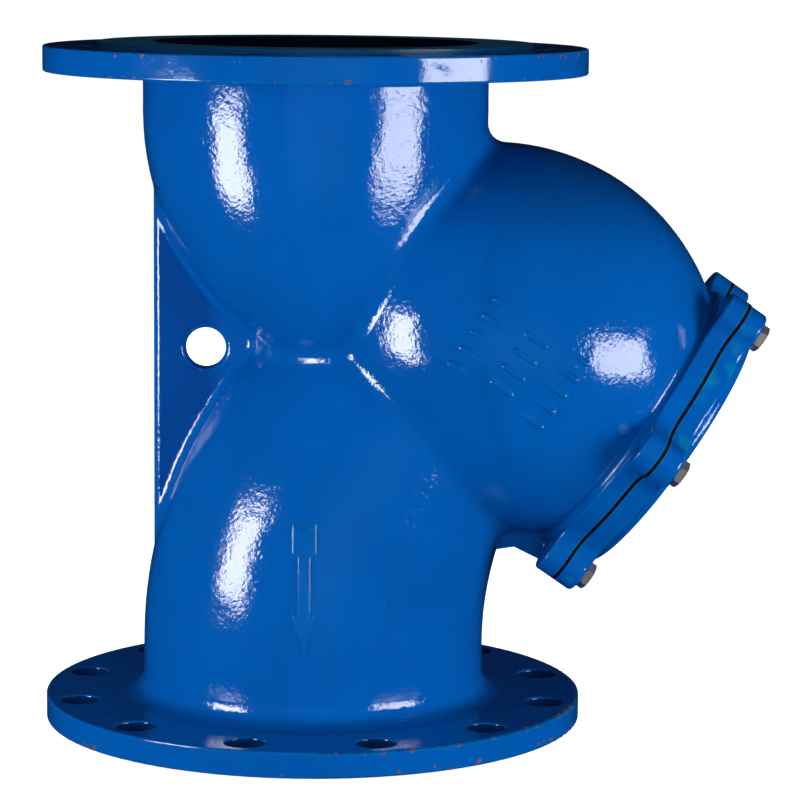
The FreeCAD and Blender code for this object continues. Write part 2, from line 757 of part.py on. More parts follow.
def hexagon(body, name, flats, height, low):
    """A hexagonal prism added to a body, standing on height low."""
    prism = body.newObject("PartDesign::AdditivePrism", name)
    prism.Polygon = 6
    bind(prism, "Circumradius", flats / math.sqrt(3))
    bind(prism, "Height", height)
    put(prism, 0, 0, low)
    doc.recompute()


def cover_bolt(number):
    """An M12 hexagon bolt; its own origin is under the head, +Z out through the head."""
    label = f"cover_bolt_{number}"
    body = new_body(label)
    r, end, chamfer = D.bolt_radius, -D.bolt_length, D.bolt_chamfer
    turned(label, [(0, end), (r - chamfer, end), (r, end + chamfer), (r, 0), (0, 0)], body=body)
    hexagon(body, f"{label}_head", D.bolt_flats, D.bolt_head, 0)
    corner = D.bolt_flats / math.sqrt(3)
    top = D.bolt_head + 0.1
    turned(f"{label}_chamfer", [(corner - chamfer * 1.25, top), (corner + 1, top),
                                (corner + 1, top - chamfer * 1.25)], cut_away=True, body=body)
    return at_bolt(body, number, D.gasket_thick / 2 + D.cover_thick + D.washer_thick)


def cover_washer(number):
    label = f"cover_washer_{number}"
    body = ring(label, D.washer_hole, D.washer_radius, 0, D.washer_thick)
    return at_bolt(body, number, D.gasket_thick / 2 + D.cover_thick)


def drain_seat():
    return D.gasket_thick / 2 + D.cover_thick + D.dome_height + D.boss_height


def drain_plug():
    """The hexagon-headed drain plug in the middle of the cover."""
    body = new_body("drain_plug")
    low = drain_seat() + D.plug_seal_thick
    r, end, flange_top = D.plug_radius, low - D.plug_length, low + D.plug_flange_thick
    chamfer = D.plug_chamfer
    turned("plug", [(0, end), (r - chamfer, end), (r, end + chamfer), (r, low),
                    (D.plug_flange, low), (D.plug_flange, flange_top - chamfer),
                    (D.plug_flange - chamfer, flange_top), (0, flange_top)], body=body)
    hexagon(body, "plug_head", D.plug_flats, D.plug_head, flange_top)
    return on_branch(body)


def drain_plug_seal():
    low = drain_seat()
    return on_branch(ring("drain_plug_seal", D.plug_seal_hole, D.plug_seal_outer, low,
                          low + D.plug_seal_thick))


# ---------------------------------------------------------------------------------------------
# Basket
# ---------------------------------------------------------------------------------------------
def basket():
    """The screen basket's pieces, from its seal against the seat to the ring at the cover."""
    outer = D.screen_outer
    inner = outer - D.screen_thick
    foot = D.gasket_thick / 2 - D.basket_gap
    head = -D.seat_distance + D.basket_gap + D.seal_thick
    pieces = [
        on_branch(ring("basket_screen", inner, outer, head, foot)),
        on_branch(ring("basket_liner", inner - D.liner_thick, inner, head, foot)),
        on_branch(ring("basket_seat_ring", outer, D.ring_outer, head, head + D.ring_height)),
        on_branch(ring("basket_cover_ring", outer, D.ring_outer, foot - D.ring_height, foot)),
        on_branch(ring("basket_seal", inner - D.liner_thick, D.ring_outer, head - D.seal_thick,
                       head)),
    ]
    strip = new_body("basket_seam_strip")
    low, high = head + D.ring_height, foot - D.ring_height
    turned("strip", [(outer, low), (outer + D.strip_thick, low), (outer + D.strip_thick, high),
                     (outer, high)], body=strip)
    angle = 2 * math.degrees(math.asin(D.strip_width.value / 2 / outer.value))
    doc.getObject("strip_turned").Angle = angle
    doc.recompute()
    pieces.append(on_branch(strip))
    return pieces


# ---------------------------------------------------------------------------------------------
# Assembly
# ---------------------------------------------------------------------------------------------
def check(parts):
    """Stop if any object failed to rebuild, or any sub-part is not a sound solid."""
    for thing in doc.Objects:
        if "Invalid" in thing.State or "Error" in thing.State:
            raise RuntimeError(f"{thing.Name} did not rebuild: {thing.State}")
    for part in parts:
        shape = part.Shape
        if shape.isNull() or not shape.isValid() or len(shape.Solids) != 1:
            raise RuntimeError(f"{part.Label} is not one sound solid")


def main():
    parts = [casting(), gasket(), cover()]
    for number in range(1, int(D.lug_count.value) + 1):
        parts += [cover_bolt(number), cover_washer(number)]
    parts += [drain_plug(), drain_plug_seal()] + basket()
    doc.recompute()
    check(parts)
    os.makedirs("parts", exist_ok=True)
    for part in parts:
        part.Shape.exportStep(f"parts/{part.Label}.step")
        print(f"{part.Label}: {part.Shape.Volume / 1000:.1f} cm3")


main()
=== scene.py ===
"""Looks for the Y strainer: glossy blue epoxy on iron, stainless bolts, rubber, brass and screen.

Metres, in the frame's own axes: +Z up the pipe, +X towards the branch.
"""
import json
import math

import bpy
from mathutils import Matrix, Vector

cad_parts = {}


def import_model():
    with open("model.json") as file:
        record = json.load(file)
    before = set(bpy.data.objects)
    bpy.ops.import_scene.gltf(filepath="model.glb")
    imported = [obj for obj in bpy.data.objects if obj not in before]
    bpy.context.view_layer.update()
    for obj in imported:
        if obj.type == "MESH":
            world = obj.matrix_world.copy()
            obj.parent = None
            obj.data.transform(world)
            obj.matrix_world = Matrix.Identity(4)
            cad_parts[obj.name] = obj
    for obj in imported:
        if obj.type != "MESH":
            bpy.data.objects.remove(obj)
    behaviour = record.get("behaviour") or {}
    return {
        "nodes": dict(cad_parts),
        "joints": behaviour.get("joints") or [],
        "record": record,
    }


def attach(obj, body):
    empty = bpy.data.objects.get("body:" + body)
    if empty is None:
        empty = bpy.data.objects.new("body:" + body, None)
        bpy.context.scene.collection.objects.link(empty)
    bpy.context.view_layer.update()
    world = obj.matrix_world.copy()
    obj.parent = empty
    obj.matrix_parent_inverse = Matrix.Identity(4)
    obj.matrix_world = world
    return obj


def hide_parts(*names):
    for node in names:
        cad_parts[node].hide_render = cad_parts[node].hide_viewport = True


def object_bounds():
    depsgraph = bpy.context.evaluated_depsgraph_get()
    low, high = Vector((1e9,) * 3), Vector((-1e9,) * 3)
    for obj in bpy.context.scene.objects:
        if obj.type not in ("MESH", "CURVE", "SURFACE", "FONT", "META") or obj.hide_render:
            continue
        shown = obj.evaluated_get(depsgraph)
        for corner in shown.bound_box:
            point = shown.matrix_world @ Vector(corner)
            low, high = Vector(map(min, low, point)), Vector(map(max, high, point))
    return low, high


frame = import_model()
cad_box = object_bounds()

nodes = frame["nodes"]
joints = {joint["name"]: joint for joint in frame["joints"]}
mounts = {mount["name"]: mount for mount in frame["record"]["mounts"]}

MM = 0.001

# ---------------------------------------------------------------------------------------------
# Places from the frame, and the sizes of the flanges
# ---------------------------------------------------------------------------------------------
BRANCH_AXIS = Vector(joints["cover_slide"]["axis"]).normalized()
BRANCH_POINT = Vector(joints["plug_turn"]["pos_m"])
BRANCH_SIDE = Vector((0, 1, 0))
BRANCH_UP = BRANCH_AXIS.cross(BRANCH_SIDE)
INLET_FACE = mounts["inlet_face"]["pos_m"][2]
MIDDLE = INLET_FACE / 2       # the height halfway between the flanges
BORE_RADIUS = mounts["inlet_bore"]["dims"]["r_mm"] * MM
HOLE_CIRCLE = mounts["outlet_bolts"]["dims"]["pcd_mm"] / 2 * MM
HOLE_COUNT = mounts["outlet_bolts"]["dims"]["count"]
HOLE_RADIUS = mounts["outlet_bolts"]["dims"]["hole_r_mm"] * MM
RAISED_RADIUS = 160 * MM
RAISED_HEIGHT = 3 * MM
FLANGE_THICK = 22 * MM
FLANGE_RADIUS = 200 * MM


def axial_range(node):
    """How far a node reaches along the branch axis, and its inner and outer radius round it."""
    along, out = [], []
    for vertex in nodes[node].data.vertices:
        arm = vertex.co - BRANCH_POINT
        distance = arm.dot(BRANCH_AXIS)
        along.append(distance)
        out.append((arm - BRANCH_AXIS * distance).length)
    return min(along), max(along), min(out), max(out)


def on_branch(turn, radius, along):
    """The point at an angle round the branch axis, a radius from it and a distance along it."""
    arm = BRANCH_SIDE * math.cos(turn) + BRANCH_UP * math.sin(turn)
    return BRANCH_POINT + BRANCH_AXIS * along + arm * radius


# ---------------------------------------------------------------------------------------------
# Shader helpers
# ---------------------------------------------------------------------------------------------
class Shader:
    """One material and short ways to add nodes to it."""

    def __init__(self, name):
        self.material = bpy.data.materials.new(name)
        self.material.use_nodes = True
        self.tree = self.material.node_tree
        self.surface = self.tree.nodes["Principled BSDF"]
        self.place = self.add("ShaderNodeTexCoord").outputs["Object"]

    def add(self, kind, inputs=None, **settings):
        made = self.tree.nodes.new(kind)
        for key, value in settings.items():
            setattr(made, key, value)
        for key, value in (inputs or {}).items():
            self.fill(made.inputs[key], value)
        return made

    def fill(self, socket, value):
        """Link a socket if the value comes from a node, and set it otherwise."""
        if isinstance(value, bpy.types.NodeSocket):
            self.tree.links.new(value, socket)
        else:
            socket.default_value = value

    def normal(self):
        return self.add("ShaderNodeNewGeometry").outputs["Normal"]

    def parts(self, vector):
        """The X, Y and Z of a vector."""
        return self.add("ShaderNodeSeparateXYZ", {0: vector}).outputs

    def length(self, x, y):
        flat = self.add("ShaderNodeCombineXYZ", {0: x, 1: y}).outputs[0]
        return self.add("ShaderNodeVectorMath", {0: flat}, operation="LENGTH").outputs["Value"]

    def stretched(self, stretch):
        """The place, multiplied by a number along each axis."""
        made = self.add("ShaderNodeVectorMath", {0: self.place, 1: stretch}, operation="MULTIPLY")
        return made.outputs[0]

    def math(self, operation, a, b=0.0, c=0.0, clamp=False):
        made = self.add("ShaderNodeMath", {0: a, 1: b, 2: c}, operation=operation, use_clamp=clamp)
        return made.outputs[0]

    def product(self, first, *others):
        for other in others:
            first = self.math("MULTIPLY", first, other)
        return first

    def gap(self, a, b):
        """How far two values are apart."""
        return self.math("ABSOLUTE", self.math("SUBTRACT", a, b))

    def dot(self, a, b):
        made = self.add("ShaderNodeVectorMath", {0: a, 1: b}, operation="DOT_PRODUCT")
        return made.outputs["Value"]

    def noise(self, scale, detail=2.0, roughness=0.5, place=None):
        made = self.add("ShaderNodeTexNoise", {"Vector": place or self.place, "Scale": scale,
                                               "Detail": detail, "Roughness": roughness})
        return made.outputs["Fac"]

    def ramp(self, value, low, high):
        """0 at low, 1 at high, smooth in between and level beyond."""
        made = self.add("ShaderNodeMapRange", {"Value": value, "From Min": low, "From Max": high},
                        interpolation_type="SMOOTHSTEP")
        return made.outputs["Result"]

    def mix(self, amount, a, b):
        made = self.add("ShaderNodeMix", {0: amount}, data_type="RGBA")
        self.fill(made.inputs[6], a)
        self.fill(made.inputs[7], b)
        return made.outputs[2]

    def bump(self, height, distance, normal=None, strength=1.0):
        inputs = {"Height": height, "Distance": distance, "Strength": strength}
        if normal is not None:
            inputs["Normal"] = normal
        return self.add("ShaderNodeBump", inputs).outputs["Normal"]

    def edges(self, radius, low, high):
        """1 along sharp edges, 0 on open surface."""
        soft = self.add("ShaderNodeBevel", {"Radius": radius}, samples=4).outputs["Normal"]
        return self.ramp(self.math("SUBTRACT", 1.0, self.dot(soft, self.normal())), low, high)

    def set(self, **sockets):
        """Set or link sockets of the surface; underscores stand for spaces."""
        for key, value in sockets.items():
            self.fill(self.surface.inputs[key.replace("_", " ")], value)


def colour(red, green, blue):
    return (red, green, blue, 1.0)


# ---------------------------------------------------------------------------------------------
# Paint
# ---------------------------------------------------------------------------------------------
PAINT = colour(0.0001, 0.106, 0.46)
PAINT_DEEP = colour(0.0001, 0.096, 0.42)
PAINT_THICK = colour(0.003, 0.26, 0.44)
# painted shade on surfaces that face up, where little light falls from above
UPWARD_SHADE = colour(0.0002, 0.056, 0.25)
# painted shade on the web's flat sides
WEB_SHADE = colour(0.0001, 0.060, 0.31)
# painted shade on the walls of the bolt holes
HOLE_SHADE = colour(0.0001, 0.020, 0.10)
# a darker coat on the gasket faces, with painted shade
FACE_TONE_AND_SHADE = colour(0.0010, 0.085, 0.24)
# painted highlights along the ridges of the gasket faces' turned grooves
GROOVE_HIGHLIGHT = colour(0.03, 0.30, 0.52)
# painted shade inside the inlet's and the outlet's bores
BORE_SHADE = colour(0.0006, 0.004, 0.014)
RUST = colour(0.16, 0.055, 0.022)

PAINT_IOR = 1.5
THICK_EDGE = 3 * MM           # how far from an edge the paint is thick
MARGIN = 0.2 * MM             # lets a test for a surface take in the surface itself
GROOVE_PITCH = 2.6 * MM       # between the turned grooves of a gasket face
UPPER_BORE_END = 400 * MM     # the height where the inlet's dark wall ends
LOWER_BORE_END = 75 * MM      # and where the outlet's does
WEB_REACH = 12 * MM           # from the middle plane past the web's sides
WEB_START = -62 * MM          # where the web's tone begins, behind the pipe's axis
WEB_FULL = -84 * MM           # and where it is whole
RIM_DEPTH = 3 * MM            # how far in from the flanges' rims chips reach
SEAM_STRAY = 3 * MM           # how far the parting line wanders, side to side


def coat(s, up):
    """Cloudy blue, with painted shade where it faces up, and greenish where it is thick along edges.
    """
    cloud = s.ramp(s.noise(14.0, 3.0), 0.35, 0.65)
    base = s.mix(cloud, PAINT_DEEP, PAINT)
    # painted shade: darker where the surface faces up
    base = s.mix(s.ramp(up, 0.45, 0.95), base, UPWARD_SHADE)
    patches = s.ramp(s.noise(60.0, 2.0), 0.32, 0.62)
    thick = s.product(s.edges(THICK_EDGE, 0.015, 0.16), patches, 0.6)
    return s.mix(thick, base, PAINT_THICK)


def gloss(s):
    """The roughness of the coat, a little uneven."""
    return s.math("MULTIPLY_ADD", s.noise(40.0, 3.0), 0.07, 0.045)


def skin(s, y, from_middle):
    """The mould's parting line, then orange peel, smoother on the flanges than between them."""
    stray = s.math("MULTIPLY_ADD", s.noise(30.0, 2.0), SEAM_STRAY,
                   s.math("SUBTRACT", y, SEAM_STRAY / 2))
    seam = s.ramp(s.math("ABSOLUTE", stray), 1.3 * MM, 0.3 * MM)
    line = s.bump(seam, 0.35 * MM)
    wave = s.bump(s.noise(24.0, 2.0, 0.5), 1.3 * MM, line)
    smooth = s.ramp(from_middle, MIDDLE - 34 * MM, MIDDLE - 26 * MM)
    cast = s.math("MULTIPLY_ADD", smooth, -0.75, 1.0)
    peel = s.bump(s.noise(290.0, 2.0, 0.55), 0.26 * MM, wave, cast)
    return s.bump(s.noise(800.0, 1.0, 0.4), 0.04 * MM, peel)


def gasket_faces(s, radius, z):
    """1 on the raised faces that the pipe gaskets lie on."""
    top = s.math("GREATER_THAN", z, INLET_FACE - RAISED_HEIGHT + MARGIN)
    bottom = s.math("LESS_THAN", z, RAISED_HEIGHT - MARGIN)
    inside = s.math("LESS_THAN", radius, RAISED_RADIUS + MARGIN)
    return s.product(s.math("ADD", top, bottom), inside)


def bores(s, radius, z):
    """1 inside the inlet's and the outlet's mouth."""
    high = s.math("GREATER_THAN", z, UPPER_BORE_END)
    low = s.math("LESS_THAN", z, LOWER_BORE_END)
    inside = s.math("LESS_THAN", radius, BORE_RADIUS + 1.5 * MM)
    return s.product(s.math("ADD", high, low), inside)


def hole_walls(s, x, y, radius, from_middle):
    """1 on the walls of the flanges' bolt holes."""
    pitch = 2 * math.pi / HOLE_COUNT
    turn = s.math("WRAP", s.math("ARCTAN2", y, x), pitch, 0.0)
    across = s.product(s.math("SUBTRACT", turn, pitch / 2), HOLE_CIRCLE)
    outward = s.math("SUBTRACT", radius, HOLE_CIRCLE)
    squares = s.math("ADD", s.product(across, across), s.product(outward, outward))
    wall = s.math("LESS_THAN", s.math("SQRT", squares), HOLE_RADIUS + 0.3 * MM)
    flanges = s.math("GREATER_THAN", from_middle, MIDDLE - FLANGE_THICK - 2 * MM)
    return s.product(wall, flanges)


def web_sides(s, x, y, sideways, from_middle):
    """1 on the flat sides of the web, fading out towards the pipe."""
    near = s.math("LESS_THAN", s.math("ABSOLUTE", y), WEB_REACH)
    behind = s.ramp(x, WEB_START, WEB_FULL)
    flat = s.ramp(s.math("ABSOLUTE", sideways), 0.85, 0.97)
    between = s.math("LESS_THAN", from_middle, MIDDLE - FLANGE_THICK - 20 * MM)
    return s.product(near, behind, flat, between)


def rust_chips(s, radius, from_middle):
    """1 in small chips along both corners of each flange's rim."""
    rim = s.math("GREATER_THAN", radius, FLANGE_RADIUS - RIM_DEPTH)
    outer = s.math("LESS_THAN", s.gap(from_middle, MIDDLE - RAISED_HEIGHT), 5 * MM)
    inner = s.math("LESS_THAN", s.gap(from_middle, MIDDLE - FLANGE_THICK), 3 * MM)
    at_corner = s.product(rim, s.math("MAXIMUM", outer, inner))
    spots = s.ramp(s.noise(170.0, 4.0, 0.6), 0.60, 0.62)
    rare = s.ramp(s.noise(15.0, 1.0), 0.53, 0.57)
    return s.product(spots, rare, at_corner)


def casting_paint():
    """Glossy epoxy with painted shade in the bores, on the hole walls and on the web, a darker coat
    with painted shade and painted highlights on gasket faces, and rust chips.
    """
    s = Shader("casting_paint")
    x, y, z = s.parts(s.place)
    sideways, up = s.parts(s.normal())[1:]
    radius = s.length(x, y)
    from_middle = s.gap(z, MIDDLE)

    face = gasket_faces(s, radius, z)
    bore = bores(s, radius, z)
    groove = s.math("SINE", s.product(radius, 2 * math.pi / GROOVE_PITCH))
    # painted highlights on the ridges between the turned grooves
    turned = s.mix(s.ramp(groove, 0.3, 0.9), FACE_TONE_AND_SHADE, GROOVE_HIGHLIGHT)
    chips = rust_chips(s, radius, from_middle)

    # the gasket faces: a darker coat with painted shade, and painted highlights on the groove ridges
    base = s.mix(face, coat(s, up), turned)
    # painted shade inside the bores
    base = s.mix(bore, base, BORE_SHADE)
    # painted shade on the walls of the bolt holes
    base = s.mix(hole_walls(s, x, y, radius, from_middle), base, HOLE_SHADE)
    # painted shade on the flat sides of the web
    base = s.mix(web_sides(s, x, y, sideways, from_middle), base, WEB_SHADE)
    base = s.mix(chips, base, RUST)

    dull = s.math("MAXIMUM", face, bore, clamp=True)
    roughness = s.math("MULTIPLY_ADD", dull, 0.22, gloss(s))
    roughness = s.math("MULTIPLY_ADD", chips, 0.5, roughness)
    s.set(Base_Color=base, Roughness=roughness, Normal=skin(s, y, from_middle), IOR=PAINT_IOR)
    return s.material


def cover_paint():
    """Glossy epoxy with greenish patches of thick paint."""
    s = Shader("cover_paint")
    y, z = s.parts(s.place)[1:]
    up = s.parts(s.normal())[2]
    runs = s.product(s.ramp(s.noise(38.0, 2.0), 0.58, 0.70), 0.45)
    base = s.mix(runs, coat(s, up), PAINT_THICK)
    s.set(Base_Color=base, Roughness=gloss(s), Normal=skin(s, y, s.gap(z, MIDDLE)), IOR=PAINT_IOR)
    return s.material


# ---------------------------------------------------------------------------------------------
# Rubber, steel, cloth and brass
# ---------------------------------------------------------------------------------------------
METAL_EDGE = (0.8 * MM, 0.03, 0.3)    # the width of bright edges on metal, and their ramp
WIRE_PITCH = 1.1 * MM                 # from wire to wire of the screen's cloth


def rubber():
    """Matt black sheet rubber with a fine grain."""
    s = Shader("gasket_rubber")
    grain = s.noise(1400.0, 3.0, 0.6)
    base = s.mix(s.ramp(s.noise(60.0), 0.3, 0.7), colour(0.0015, 0.0015, 0.002),
                 colour(0.004, 0.004, 0.0045))
    s.set(Base_Color=base, Roughness=s.math("MULTIPLY_ADD", grain, 0.25, 0.6),
          Normal=s.bump(grain, 0.03 * MM), Specular_IOR_Level=0.04)
    return s.material


def steel(name, base, stretch, rough):
    """Machined stainless steel, whose fine marks are shortest along the largest stretch."""
    s = Shader(name)
    marks = s.noise(1.0, 3.0, 0.6, s.stretched(stretch))
    grime = s.ramp(s.noise(180.0, 4.0, 0.6), 0.5, 0.8)
    tint = s.mix(s.product(grime, 0.55), base, colour(0.12, 0.10, 0.08))
    tint = s.mix(s.product(s.edges(*METAL_EDGE), 0.4), tint, colour(0.85, 0.84, 0.82))
    s.set(Base_Color=tint, Metallic=0.8, Normal=s.bump(marks, 0.02 * MM),
          Roughness=s.math("MULTIPLY_ADD", grime, 0.25, rough))
    return s.material


def woven():
    """Fine square-woven wire cloth, dark between its wires."""
    s = Shader("screen_cloth")
    y = s.parts(s.place)[1]
    wave = 2 * math.pi / WIRE_PITCH
    warp = s.math("SINE", s.product(s.dot(s.place, BRANCH_AXIS), wave))
    weft = s.math("SINE", s.product(y, wave))
    cloth = s.math("MAXIMUM", warp, weft)
    base = s.mix(s.ramp(cloth, 0.0, 0.9), colour(0.01, 0.01, 0.01), colour(0.22, 0.22, 0.21))
    s.set(Base_Color=base, Metallic=0.7, Normal=s.bump(cloth, 0.2 * MM), Roughness=0.5)
    return s.material


def brass():
    """Machined brass, dulled in patches and bright along its edges."""
    s = Shader("plug_brass")
    dull = s.ramp(s.noise(90.0, 4.0, 0.6), 0.4, 0.75)
    tint = s.mix(dull, colour(0.72, 0.50, 0.20), colour(0.36, 0.22, 0.08))
    tint = s.mix(s.product(s.edges(*METAL_EDGE), 0.5), tint, colour(0.9, 0.7, 0.35))
    marks = s.noise(1.0, 2.0, 0.5, s.stretched((300, 300, 2500)))
    s.set(Base_Color=tint, Metallic=1.0, Normal=s.bump(marks, 0.02 * MM),
          Roughness=s.math("MULTIPLY_ADD", dull, 0.25, 0.22))
    return s.material


def dress(node, material):
    """Give every material slot of a CAD node the same material."""
    mesh = nodes[node].data
    if not mesh.materials:
        mesh.materials.append(material)
    for index in range(len(mesh.materials)):
        mesh.materials[index] = material


def dress_all():
    dress("body_casting", casting_paint())
    dress("branch_cover", cover_paint())
    black = rubber()
    for node in ("cover_gasket", "drain_plug_seal", "basket_seal"):
        dress(node, black)
    bolt = steel("stainless", colour(0.70, 0.69, 0.67), (900, 900, 900), 0.30)
    for node in nodes:
        if node.startswith(("cover_bolt", "cover_washer")):
            dress(node, bolt)
    dress("drain_plug", brass())
    sheet = steel("screen_steel", colour(0.60, 0.60, 0.59), (200, 1800, 200), 0.28)
    for node in ("basket_screen", "basket_seat_ring", "basket_cover_ring", "basket_seam_strip"):
        dress(node, sheet)
    dress("basket_liner", woven())


# ---------------------------------------------------------------------------------------------
# Objects
# ---------------------------------------------------------------------------------------------
def add_object(name, data):
    made = bpy.data.objects.new(name, data)
    bpy.context.scene.collection.objects.link(made)
    return made


def mesh_object(name, points, faces):
    mesh = bpy.data.meshes.new(name)
    mesh.from_pydata(points, [], faces)
    mesh.validate()
    mesh.update()
    return add_object(name, mesh)


# ---------------------------------------------------------------------------------------------
# Camera, floor and light
# ---------------------------------------------------------------------------------------------
FLOOR_HALF = 40.0             # half the floor's side, in metres
FLOOR_GAP = 0.5 * MM          # between the floor and the outlet's gasket face


def camera():
    data = bpy.data.cameras.new("camera")
    data.lens = 145.135
    data.sensor_width = 36.0
    made = add_object("camera", data)
    made.location = (0.0248, -2.3798, 0.5869)
    made.rotation_euler = [math.radians(turn) for turn in (81.7257, -0.4999, -0.8645)]
    bpy.context.scene.camera = made


def softbox(name, place, target, size, radiance, reflected):
    """A rectangular light that acts on gloss alone, if it is reflected, or on dull colour alone."""
    width, height = size
    data = bpy.data.lights.new(name, "AREA")
    data.shape = "RECTANGLE"
    data.size = width
    data.size_y = height
    data.energy = radiance * math.pi * width * height
    made = add_object(name, data)
    made.visible_camera = False
    made.visible_glossy = reflected
    made.visible_diffuse = not reflected
    made.location = place
    toward = Vector(target) - Vector(place)
    made.rotation_euler = toward.to_track_quat("-Z", "Y").to_euler()


def lights():
    """Two boxes seen only in gloss, and four fills that light all but gloss."""
    middle = (0.0, 0.0, 0.28)
    left, left_aim = (-0.66, -0.46, 0.268), (0.0, -0.05, 0.268)
    right, right_aim = (1.41, -0.93, 0.25), (0.05, 0, 0.28)
    softbox("left_box", left, left_aim, (0.27, 0.315), 20.0, reflected=True)
    softbox("right_box", right, right_aim, (0.88, 0.52), 14.0, reflected=True)
    softbox("left_fill", left, left_aim, (0.40, 0.42), 8.0, reflected=False)
    softbox("right_fill", right, right_aim, (0.95, 0.60), 11.0, reflected=False)
    softbox("front_fill", (0.1, -3.2, 0.35), middle, (2.4, 1.6), 3.8, reflected=False)
    softbox("back_fill", (0.0, 2.6, 1.1), middle, (1.6, 1.2), 3.0, reflected=False)


def floor():
    """A glowing white floor that neither lights the strainer nor shows in its gloss."""
    half = FLOOR_HALF
    corners = [(-half, -half, 0), (half, -half, 0), (half, half, 0), (-half, half, 0)]
    made = mesh_object("floor", corners, [(0, 1, 2, 3)])
    made.location.z = cad_box[0][2] - FLOOR_GAP
    s = Shader("floor_white")
    s.set(Base_Color=colour(0.92, 0.92, 0.92), Roughness=0.9, Specular_IOR_Level=0.0,
          Emission_Color=colour(1, 1, 1), Emission_Strength=0.93)
    made.data.materials.append(s.material)
    made.visible_glossy = False
    made.visible_diffuse = False


def world():
    """White behind the strainer, dim light all round it, and almost nothing in its gloss."""
    made = bpy.data.worlds.new("studio")
    made.use_nodes = True
    bpy.context.scene.world = made
    tree = made.node_tree
    tree.nodes.clear()
    path = tree.nodes.new("ShaderNodeLightPath")

    def background(strength, tint):
        node = tree.nodes.new("ShaderNodeBackground")
        node.inputs["Strength"].default_value = strength
        node.inputs["Color"].default_value = tint
        return node.outputs[0]

    def choose(ray, shown, otherwise):
        """One background for a kind of ray, and another for the rest."""
        node = tree.nodes.new("ShaderNodeMixShader")
        for socket, source in enumerate((path.outputs[ray], otherwise, shown)):
            tree.links.new(source, node.inputs[socket])
        return node.outputs[0]

    lit = background(0.18, colour(0.9, 0.95, 1))
    mirrored = background(0.004, colour(0.8, 0.8, 0.8))
    seen = background(1.0, colour(1, 1, 1))
    surface = choose("Is Camera Ray", seen, choose("Is Glossy Ray", mirrored, lit))
    output = tree.nodes.new("ShaderNodeOutputWorld")
    tree.links.new(surface, output.inputs[0])


# ---------------------------------------------------------------------------------------------
# Perforated screen
# ---------------------------------------------------------------------------------------------
# the twelve points round a cell's border, in quarter widths and half heights from its middle
CELL_BORDER = [(2, 0), (2, 1), (1, 1), (0, 1), (-1, 1), (-2, 1),
               (-2, 0), (-2, -1), (-1, -1), (0, -1), (1, -1), (2, -1)]
HOLE_SIDES = len(CELL_BORDER)
HOLE_STEP = 360 / HOLE_SIDES


def perforated_tube(name, node, columns, pitch, hole_radius, band):
    """A tube of the node's size with staggered rows of round holes and plain bands at its ends."""
    low, high, inner, outer = axial_range(node)
    rows = int((high - low - 2 * band) / pitch)
    start = (low + high - rows * pitch) / 2
    around = 4 * columns
    step = 2 * math.pi / around
    points, faces, known = [], [], {}

    def point(side, key, quarter, along):
        """One vertex of a wall, made once for each key; side 0 is the outer wall."""
        if (side, key) not in known:
            known[side, key] = len(points)
            radius = outer if side == 0 else inner
            points.append(on_branch(quarter * step, radius, along))
        return known[side, key]

    def border(side, row, middle, offset):
        right, up = offset
        quarter = (middle + right) % around
        level = 2 * row + 1 + up
        return point(side, (quarter, level), quarter, start + level * pitch / 2)

    def face(side, corners):
        faces.append(corners if side == 0 else corners[::-1])

    for row in range(rows):
        for column in range(columns):
            middle = 4 * column + 2 * (row % 2)
            rim = [[], []]
            for side in (0, 1):
                for index in range(HOLE_SIDES):
                    turn = math.radians(HOLE_STEP * index)
                    quarter = middle + hole_radius * math.cos(turn) / (outer * step)
                    along = start + (row + 0.5) * pitch + hole_radius * math.sin(turn)
                    rim[side].append(point(side, ("hole", row, column, index), quarter, along))
                for index in range(HOLE_SIDES):
                    following = (index + 1) % HOLE_SIDES
                    face(side, [border(side, row, middle, CELL_BORDER[index]),
                                border(side, row, middle, CELL_BORDER[following]),
                                rim[side][following], rim[side][index]])
            for index in range(HOLE_SIDES):
                following = (index + 1) % HOLE_SIDES
                faces.append([rim[0][index], rim[0][following], rim[1][following], rim[1][index]])

    for level, end in ((0, low), (2 * rows, high)):
        for quarter in range(around):
            following = (quarter + 1) % around
            lip = []
            for side in (0, 1):
                near = [point(side, (q, level), q, start + level * pitch / 2)
                        for q in (quarter, following)]
                far = [point(side, (q, end), q, end) for q in (quarter, following)]
                lip.append(far)
                corners = near + far[::-1]
                face(side, corners if end == high else corners[::-1])
            corners = [lip[0][0], lip[0][1], lip[1][1], lip[1][0]]
            faces.append(corners if end == high else corners[::-1])

    return mesh_object(name, points, faces)


def basket():
    made = perforated_tube("perforated_screen", "basket_screen", columns=60, pitch=7.6 * MM,
                           hole_radius=2.5 * MM, band=9 * MM)
    made.data.materials.append(bpy.data.materials["screen_steel"])
    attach(made, "basket")
    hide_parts("basket_screen")


# ---------------------------------------------------------------------------------------------
# Threaded fasteners
# ---------------------------------------------------------------------------------------------
BOLT_COUNT = 6
BOLT = {"radius": 5.95 * MM, "tip": -28 * MM, "pitch": 1.75 * MM, "flats": 18 * MM,
        "collar": None, "head_low": 0.3 * MM, "head_high": 5.8 * MM, "chamfer": 1.2 * MM}
PLUG = {"radius": 13.2 * MM, "tip": -16 * MM, "pitch": 1.814 * MM, "flats": 22 * MM,
        "collar": 17 * MM, "head_low": 3 * MM, "head_high": 11 * MM, "chamfer": 1.2 * MM}

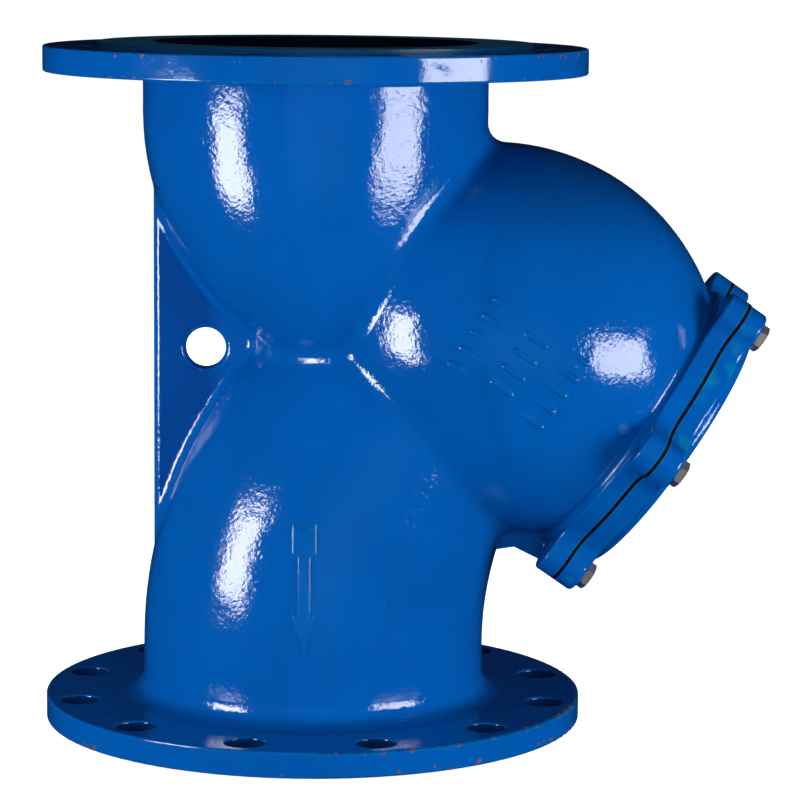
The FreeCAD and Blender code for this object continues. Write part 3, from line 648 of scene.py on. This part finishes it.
SCREW_SIDES = 48              # points round each ring of a screw
RINGS_A_TURN = 10             # rings along one turn of a thread
THREAD_DEPTH = 0.54           # of the pitch
THREAD_RISE = 2.6             # how steep the flanks are
ROOT_FLAT = 0.6               # how wide the thread's root is
RUN_OUT = 0.6                 # where the thread ends below the seat, in pitches
TIP_LENGTH = 0.9              # of the tip's taper, in pitches
TIP_SLOPE = 0.6               # of the taper
BEARING = 0.94                # the head's bearing face, of its flats
HEAD_CIRCLE = 0.93            # the flat circle on top of the head, of its flats
HEAD_SLOPE = 0.62             # how deep the head's trimmed corners go, of its chamfer
HEAD_RINGS = 5                # rings along those corners


def turned_ring(seat, radius_of, station):
    """The points of one ring; radius_of gives the radius at each angle."""
    origin, side, up, axis = seat
    ring = []
    for index in range(SCREW_SIDES):
        turn = 2 * math.pi * index / SCREW_SIDES
        arm = side * math.cos(turn) + up * math.sin(turn)
        ring.append(origin + axis * station + arm * radius_of(turn))
    return ring


def hexagon_radius(turn, flats, limit):
    """How far a hexagon's side, trimmed to a chamfer cone, lies from its middle."""
    within = (turn + math.pi / 6) % (math.pi / 3) - math.pi / 6
    return min(flats / 2 / math.cos(within), limit)


def thread_rings(radius, tip, pitch):
    """The rings of a helical thread, tapered at its tip, and the shank where it meets the seat."""
    depth = THREAD_DEPTH * pitch

    def thread(station, cut):
        def at(turn):
            phase = (station / pitch - turn / (2 * math.pi)) % 1.0
            crest = min(1.0, max(0.0, THREAD_RISE * abs(phase - 0.5) * 2 - ROOT_FLAT))
            return radius - cut - depth * (1 - crest)
        return at

    rings = []
    stop = -RUN_OUT * pitch
    steps = int((stop - tip) / pitch * RINGS_A_TURN)
    for index in range(steps + 1):
        station = tip + (stop - tip) * index / steps
        cut = max(0.0, (tip + TIP_LENGTH * pitch - station) * TIP_SLOPE)
        rings.append((station, thread(station, cut)))
    rings.append((0.0, lambda turn: radius - 0.1 * depth))
    return rings


def head_rings(pitch, flats, collar, head_low, head_high, chamfer):
    """The rings of a head: its collar if it has one, and its hexagon with trimmed corners."""
    corner = flats / math.sqrt(3)
    if collar:
        rings = [(0.0, lambda turn: collar), (head_low - chamfer, lambda turn: collar),
                 (head_low, lambda turn: collar - chamfer)]
    else:
        rings = [(0.0, lambda turn: BEARING * flats / 2)]
    rings.append((head_low + 0.02 * pitch, lambda turn: hexagon_radius(turn, flats, corner)))
    for index in range(HEAD_RINGS):
        share = index / (HEAD_RINGS - 1)
        limit = corner - (corner - HEAD_CIRCLE * flats / 2) * share
        rings.append((head_high - chamfer * HEAD_SLOPE * (1 - share),
                      lambda turn, limit=limit: hexagon_radius(turn, flats, limit)))
    return rings


def fastener(name, seat, radius, tip, pitch, flats, collar, head_low, head_high, chamfer):
    """A hexagon-headed screw; its stations are measured from the seat, outwards."""
    rings = thread_rings(radius, tip, pitch)
    rings += head_rings(pitch, flats, collar, head_low, head_high, chamfer)
    points, faces = [], []
    for station, radius_of in rings:
        points += turned_ring(seat, radius_of, station)
    for row in range(len(rings) - 1):
        this, above = row * SCREW_SIDES, (row + 1) * SCREW_SIDES
        for index in range(SCREW_SIDES):
            following = (index + 1) % SCREW_SIDES
            faces.append([this + index, this + following, above + following, above + index])
    faces.append(list(range(SCREW_SIDES))[::-1])
    faces.append(list(range(len(points) - SCREW_SIDES, len(points))))
    return mesh_object(name, points, faces)


def seat_frame(joint):
    """Origin and axes of a screw: its seat on the turn joint, +Z outwards."""
    axis = Vector(joints[joint]["axis"]).normalized()
    side = Vector((0, 1, 0))
    return Vector(joints[joint]["pos_m"]), side, axis.cross(side), axis


def fasteners():
    for number in range(1, BOLT_COUNT + 1):
        made = fastener(f"threaded_bolt_{number}", seat_frame(f"bolt_{number}_turn"), **BOLT)
        made.data.materials.append(bpy.data.materials["stainless"])
        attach(made, f"bolt_{number}")
        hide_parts(f"cover_bolt_{number}")
    made = fastener("threaded_plug", seat_frame("plug_turn"), **PLUG)
    made.data.materials.append(bpy.data.materials["plug_brass"])
    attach(made, "plug")
    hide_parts("drain_plug")


dress_all()
basket()
fasteners()
camera()
floor()
world()
lights()

bpy.context.scene.view_settings.view_transform = "Standard"
